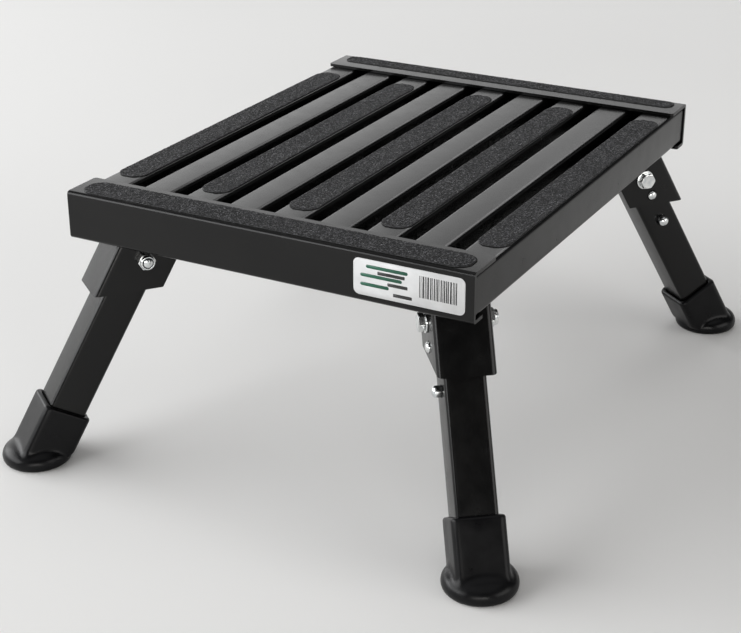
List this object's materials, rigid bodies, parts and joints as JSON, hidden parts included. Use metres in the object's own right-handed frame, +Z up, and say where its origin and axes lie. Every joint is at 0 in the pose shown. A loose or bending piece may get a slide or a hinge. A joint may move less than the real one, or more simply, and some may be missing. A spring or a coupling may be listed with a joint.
{
  "type": "folding platform step",
  "caption": "Low free-standing platform step: slatted steel-tube deck with grip strips on splayed legs that lock with a sprung pin and fold under the deck.",
  "frame": {"origin": "on the floor under the centre of the deck, at the bottom centre of the whole step", "axes": "+Z up, +Y along the slats towards the rear rail, +X across the slats towards the label's end of the front rail"},
  "size_m": [0.3988, 0.4982, 0.1976],
  "materials": {
    "powder_coat": "semi-gloss black powder coat, fine texture",
    "grit": "black abrasive grip strip, coarse grit",
    "zinc_plate": "bright zinc plate",
    "spring_steel": "plain spring steel",
    "rubber": "matt black moulded rubber",
    "label_film": "white satin sticker film"
  },
  "bodies": {
    "deck": {"front_rail": "powder_coat", "rear_rail": "powder_coat", "front_rail_grip_strip": "grit", "rear_rail_grip_strip": "grit", "blank_label": "label_film", "slat_1": "powder_coat", "slat_2": "powder_coat", "slat_3": "powder_coat", "slat_4": "powder_coat", "slat_5": "powder_coat", "slat_6": "powder_coat", "slat_7": "powder_coat", "slat_8": "powder_coat", "slat_9": "powder_coat", "slat_1_grip_strip": "grit", "slat_3_grip_strip": "grit", "slat_5_grip_strip": "grit", "slat_7_grip_strip": "grit", "slat_9_grip_strip": "grit", "leg_bracket_front_left": "powder_coat", "pivot_bolt_front_left": "zinc_plate", "pivot_nut_front_left": "zinc_plate", "pivot_washer_front_left": "zinc_plate", "pivot_bushing_front_left": "zinc_plate", "leg_bracket_front_right": "powder_coat", "pivot_bolt_front_right": "zinc_plate", "pivot_nut_front_right": "zinc_plate", "pivot_washer_front_right": "zinc_plate", "pivot_bushing_front_right": "zinc_plate", "leg_bracket_rear_right": "powder_coat", "pivot_bolt_rear_right": "zinc_plate", "pivot_nut_rear_right": "zinc_plate", "pivot_washer_rear_right": "zinc_plate", "pivot_bushing_rear_right": "zinc_plate", "leg_bracket_rear_left": "powder_coat", "pivot_bolt_rear_left": "zinc_plate", "pivot_nut_rear_left": "zinc_plate", "pivot_washer_rear_left": "zinc_plate", "pivot_bushing_rear_left": "zinc_plate"},
    "leg_front_left": {"leg_tube_front_left": "powder_coat", "rubber_foot_front_left": "rubber", "lock_spring_front_left": "spring_steel"},
    "lock_front_left": {"lock_pin_front_left": "zinc_plate", "release_button_front_left": "zinc_plate"},
    "leg_front_right": {"leg_tube_front_right": "powder_coat", "rubber_foot_front_right": "rubber", "lock_spring_front_right": "spring_steel"},
    "lock_front_right": {"lock_pin_front_right": "zinc_plate", "release_button_front_right": "zinc_plate"},
    "leg_rear_right": {"leg_tube_rear_right": "powder_coat", "rubber_foot_rear_right": "rubber", "lock_spring_rear_right": "spring_steel"},
    "lock_rear_right": {"lock_pin_rear_right": "zinc_plate", "release_button_rear_right": "zinc_plate"},
    "leg_rear_left": {"leg_tube_rear_left": "powder_coat", "rubber_foot_rear_left": "rubber", "lock_spring_rear_left": "spring_steel"},
    "lock_rear_left": {"lock_pin_rear_left": "zinc_plate", "release_button_rear_left": "zinc_plate"}
  },
  "joints": [
    {"name": "fold_front_left", "type": "hinge", "parent": "deck", "child": "leg_front_left", "pos_m": [-0.1236, -0.159, 0.1463], "axis": [0.7879, -0.6158, 0], "range_deg": [0, 116], "deforming": ["lock_pin_front_left"]},
    {"name": "release_front_left", "type": "slide", "parent": "leg_front_left", "child": "lock_front_left", "axis": [0.7879, -0.6158, 0], "range_m": [0, 0.006], "stiffness_N_per_m": 800, "springref_m": -0.006, "deforming": ["lock_spring_front_left"]},
    {"name": "fold_front_right", "type": "hinge", "parent": "deck", "child": "leg_front_right", "pos_m": [0.1236, -0.159, 0.1463], "axis": [0.7879, 0.6158, 0], "range_deg": [0, 116], "deforming": ["lock_pin_front_right"]},
    {"name": "release_front_right", "type": "slide", "parent": "leg_front_right", "child": "lock_front_right", "axis": [0.7879, 0.6158, 0], "range_m": [0, 0.006], "stiffness_N_per_m": 800, "springref_m": -0.006, "deforming": ["lock_spring_front_right"]},
    {"name": "fold_rear_right", "type": "hinge", "parent": "deck", "child": "leg_rear_right", "pos_m": [0.1236, 0.159, 0.1463], "axis": [-0.7879, 0.6158, 0], "range_deg": [0, 116], "deforming": ["lock_pin_rear_right"]},
    {"name": "release_rear_right", "type": "slide", "parent": "leg_rear_right", "child": "lock_rear_right", "axis": [-0.7879, 0.6158, 0], "range_m": [0, 0.006], "stiffness_N_per_m": 800, "springref_m": -0.006, "deforming": ["lock_spring_rear_right"]},
    {"name": "fold_rear_left", "type": "hinge", "parent": "deck", "child": "leg_rear_left", "pos_m": [-0.1236, 0.159, 0.1463], "axis": [-0.7879, -0.6158, 0], "range_deg": [0, 116], "deforming": ["lock_pin_rear_left"]},
    {"name": "release_rear_left", "type": "slide", "parent": "leg_rear_left", "child": "lock_rear_left", "axis": [-0.7879, -0.6158, 0], "range_m": [0, 0.006], "stiffness_N_per_m": 800, "springref_m": -0.006, "deforming": ["lock_spring_rear_left"]}
  ]
}
